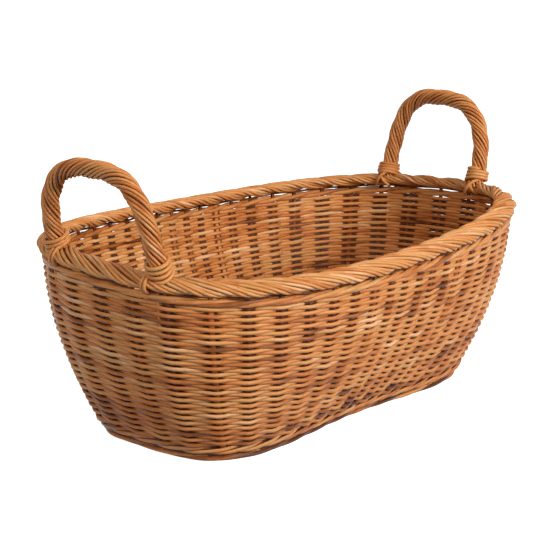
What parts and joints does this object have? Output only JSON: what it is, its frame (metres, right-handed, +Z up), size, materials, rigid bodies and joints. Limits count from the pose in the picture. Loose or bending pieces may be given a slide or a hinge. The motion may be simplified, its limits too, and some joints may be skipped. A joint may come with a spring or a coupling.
{
  "type": "wicker log basket",
  "caption": "Long oval woven wicker basket with flared sides, a waisted foot, a rope-twisted border and an upright roped carrying handle bound to each end.",
  "frame": {"origin": "middle of the foot, on the floor the basket stands on", "axes": "+X along the basket's length towards the right handle, +Y across it towards the back, +Z up"},
  "size_m": [0.701, 0.434, 0.3627],
  "materials": {
    "side_wicker": "satin varnished wicker",
    "wale_wicker": "satin varnished wicker",
    "foot_wicker": "satin varnished wicker",
    "stake_rod": "satin rod",
    "base_wicker": "satin varnished wicker",
    "base_stick": "satin rod",
    "border_wicker": "satin varnished wicker",
    "handle_wicker": "satin varnished wicker",
    "core_rod": "satin rod",
    "binding_rod": "satin rod"
  },
  "bodies": {
    "root": {"foot_border": "foot_wicker", "base_weave": "base_wicker", "base_long_sticks": "base_stick", "base_cross_sticks": "base_stick", "left_end_stakes": "stake_rod", "right_end_stakes": "stake_rod", "front_stakes": "stake_rod", "back_stakes": "stake_rod", "lower_wale": "wale_wicker", "lower_side_weave": "side_wicker", "middle_side_weave": "side_wicker", "upper_side_weave": "side_wicker", "top_wale": "wale_wicker", "border_core": "core_rod", "border_rope": "border_wicker", "left_handle_core": "core_rod", "left_handle_rope": "handle_wicker", "right_handle_core": "core_rod", "right_handle_rope": "handle_wicker", "left_front_binding": "binding_rod", "left_back_binding": "binding_rod", "right_front_binding": "binding_rod", "right_back_binding": "binding_rod", "left_front_tie": "binding_rod", "left_back_tie": "binding_rod", "right_front_tie": "binding_rod", "right_back_tie": "binding_rod"}
  },
  "joints": []
}
